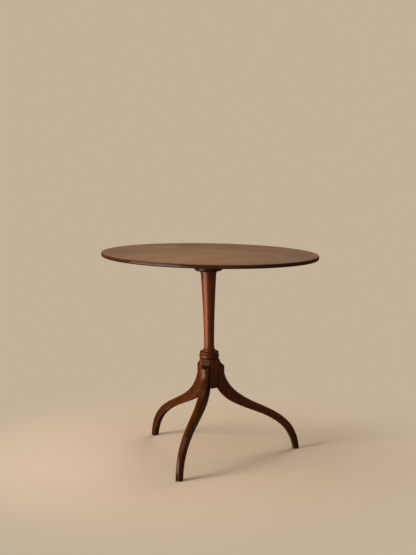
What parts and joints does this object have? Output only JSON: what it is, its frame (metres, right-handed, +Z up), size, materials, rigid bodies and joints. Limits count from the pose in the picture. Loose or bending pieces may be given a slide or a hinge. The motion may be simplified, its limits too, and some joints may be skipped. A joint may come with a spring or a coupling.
{
  "type": "tilt top table",
  "caption": "Oval tilt-top occasional table: thin polished top hinged on a block over a turned pillar with dovetailed S-curved legs and a sprung brass catch.",
  "frame": {"origin": "on the floor under the pillar's axis", "axes": "+X along the top's long axis and the tilt axis, +Z up, front leg towards -Y"},
  "size_m": [0.762, 0.5737, 0.705],
  "materials": {
    "top_mahogany": "faded satin polish",
    "mahogany": "dark polished",
    "batten_wood": "dry, unpolished",
    "ebonised": "dark stained, dull polish",
    "brass": "aged",
    "iron": "blackened",
    "steel": "dull"
  },
  "bodies": {
    "pedestal": {"column": "mahogany", "column_cap": "ebonised", "tilt_block": "mahogany", "tenon_wedge": "batten_wood", "leg_front": "mahogany", "leg_right": "mahogany", "leg_left": "mahogany", "base_plate": "iron", "base_plate_screws": "steel", "keeper_plate": "brass", "keeper_screws": "brass"},
    "top": {"table_top": "top_mahogany", "batten_left": "batten_wood", "batten_right": "batten_wood", "batten_screws_left": "steel", "batten_screws_right": "steel", "catch_plate": "brass", "catch_case": "brass", "catch_screws": "brass", "catch_spring": "steel"},
    "catch_bolt": {"catch_bolt": "brass", "catch_knob": "brass"}
  },
  "joints": [
    {"name": "top_tilt", "type": "hinge", "parent": "pedestal", "child": "top", "pos_m": [0, -0.05, 0.6782], "axis": [1, 0, 0], "range_deg": [0, 90]},
    {"name": "catch_slide", "type": "slide", "parent": "top", "child": "catch_bolt", "axis": [0, 1, 0], "range_m": [0, 0.007], "stiffness_N_per_m": 400, "springref_m": -0.004, "deforming": ["catch_spring"]}
  ]
}
